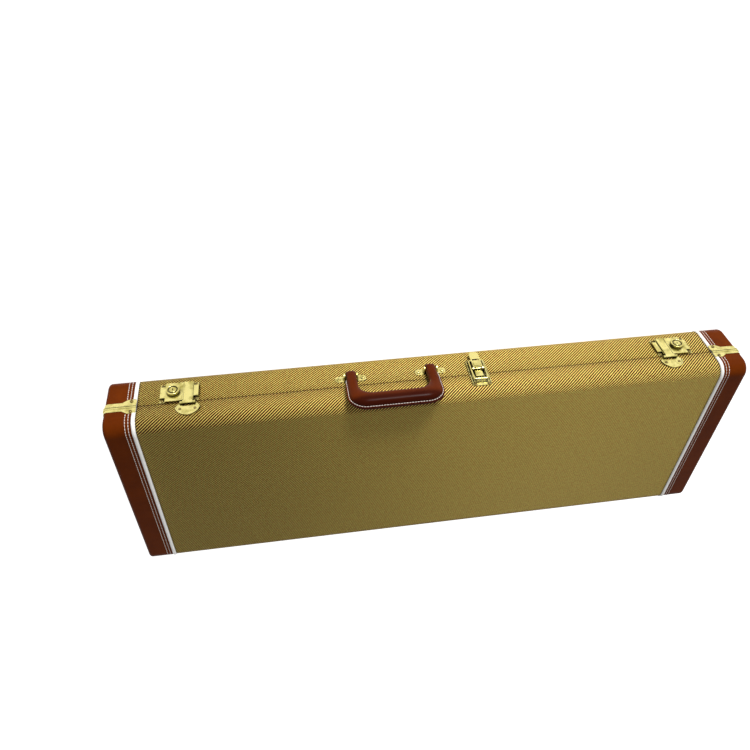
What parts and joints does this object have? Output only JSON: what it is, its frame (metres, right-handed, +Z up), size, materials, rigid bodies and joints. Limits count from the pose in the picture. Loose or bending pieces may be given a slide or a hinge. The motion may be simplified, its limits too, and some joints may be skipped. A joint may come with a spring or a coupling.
{
  "type": "instrument case",
  "caption": "Long rectangular tweed-covered hard case with leather ends, white piping, a hinged lid, two hasp locks, a draw latch, a carrying handle and a padded interior.",
  "frame": {"origin": "middle of the back panel's outer face, with the case lying on its back", "axes": "+X along the length towards the end at the left of the picture, -Y towards the handle side, +Z up through the lid"},
  "size_m": [1.0142, 0.379, 0.1309],
  "materials": {
    "plywood": "raw",
    "tweed": "woven twill",
    "leather": "smooth grain",
    "piping": "gloss",
    "plush": "short pile",
    "brass": "polished",
    "steel": "drawn"
  },
  "bodies": {
    "base": {"base_shell": "plywood", "base_tweed": "tweed", "base_left_end_cover": "leather", "base_right_end_cover": "leather", "base_left_piping": "piping", "base_right_piping": "piping", "base_left_end_trim": "brass", "base_right_end_trim": "brass", "base_screws": "brass", "base_lining": "plush", "rim_lip": "plush", "body_surround": "plush", "neck_side_block": "plush", "neck_cradle": "plush", "accessory_box": "plush", "left_lock_plate": "brass", "right_lock_plate": "brass", "left_lock_spring": "steel", "right_lock_spring": "steel", "draw_latch_plate": "brass", "draw_latch_pin": "brass", "handle_brackets": "brass", "handle_bracket_screws": "brass", "handle_pins": "brass", "hinge_base_leaves": "brass", "hinge_pins": "brass", "base_feet": "brass"},
    "lid": {"lid_shell": "plywood", "lid_tweed": "tweed", "lid_left_end_cover": "leather", "lid_right_end_cover": "leather", "lid_left_piping": "piping", "lid_right_piping": "piping", "lid_left_end_trim": "brass", "lid_right_end_trim": "brass", "lid_screws": "brass", "lid_lining": "plush", "lid_pad": "plush", "left_hasp_mount": "brass", "right_hasp_mount": "brass", "hasp_mount_rivets": "brass", "hasp_pins": "brass", "draw_latch_hook": "brass", "hinge_lid_leaves": "brass", "lid_feet": "brass"},
    "left_hasp": {"left_hasp": "brass"},
    "right_hasp": {"right_hasp": "brass"},
    "left_lock_button": {"left_lock_button": "brass"},
    "right_lock_button": {"right_lock_button": "brass"},
    "left_key_plug": {"left_key_plug": "brass"},
    "right_key_plug": {"right_key_plug": "brass"},
    "draw_lever": {"draw_lever": "brass"},
    "draw_bail": {"draw_bail": "brass"},
    "handle": {"handle_grip": "leather", "handle_core": "steel"}
  },
  "joints": [
    {"name": "lid_hinge", "type": "hinge", "parent": "base", "child": "lid", "pos_m": [0, 0.1784, 0.065], "axis": [-1, 0, 0], "range_deg": [0, 180]},
    {"name": "draw_lever_pivot", "type": "hinge", "parent": "base", "child": "draw_lever", "pos_m": [-0.065, -0.1805, 0.0575], "axis": [-1, 0, 0], "range_deg": [0, 150]},
    {"name": "draw_bail_pivot", "type": "hinge", "parent": "draw_lever", "child": "draw_bail", "pos_m": [-0.065, -0.1805, 0.04], "axis": [-1, 0, 0], "range_deg": [-150, 0]},
    {"name": "handle_pivot", "type": "hinge", "parent": "base", "child": "handle", "pos_m": [0.073, -0.183, 0.05], "axis": [1, 0, 0], "range_deg": [0, 125]},
    {"name": "left_hasp_hinge", "type": "hinge", "parent": "lid", "child": "left_hasp", "pos_m": [0.383, -0.1784, 0.069], "axis": [-1, 0, 0], "range_deg": [0, 150]},
    {"name": "left_lock_slide", "type": "slide", "parent": "base", "child": "left_lock_button", "axis": [1, 0, 0], "range_m": [0, 0.005], "stiffness_N_per_m": 300, "springref_m": -0.005, "deforming": ["left_lock_spring"]},
    {"name": "left_key_turn", "type": "hinge", "parent": "left_lock_button", "child": "left_key_plug", "pos_m": [0.405, -0.18, 0.045], "axis": [0, -1, 0], "range_deg": [0, 90]},
    {"name": "right_hasp_hinge", "type": "hinge", "parent": "lid", "child": "right_hasp", "pos_m": [-0.383, -0.1784, 0.069], "axis": [-1, 0, 0], "range_deg": [0, 150]},
    {"name": "right_lock_slide", "type": "slide", "parent": "base", "child": "right_lock_button", "axis": [-1, 0, 0], "range_m": [0, 0.005], "stiffness_N_per_m": 300, "springref_m": -0.005, "deforming": ["right_lock_spring"]},
    {"name": "right_key_turn", "type": "hinge", "parent": "right_lock_button", "child": "right_key_plug", "pos_m": [-0.405, -0.18, 0.045], "axis": [0, -1, 0], "range_deg": [0, 90]}
  ],
  "couplings": [
    {"joint": "draw_bail_pivot", "follows": "draw_lever_pivot", "ratio": -1}
  ]
}
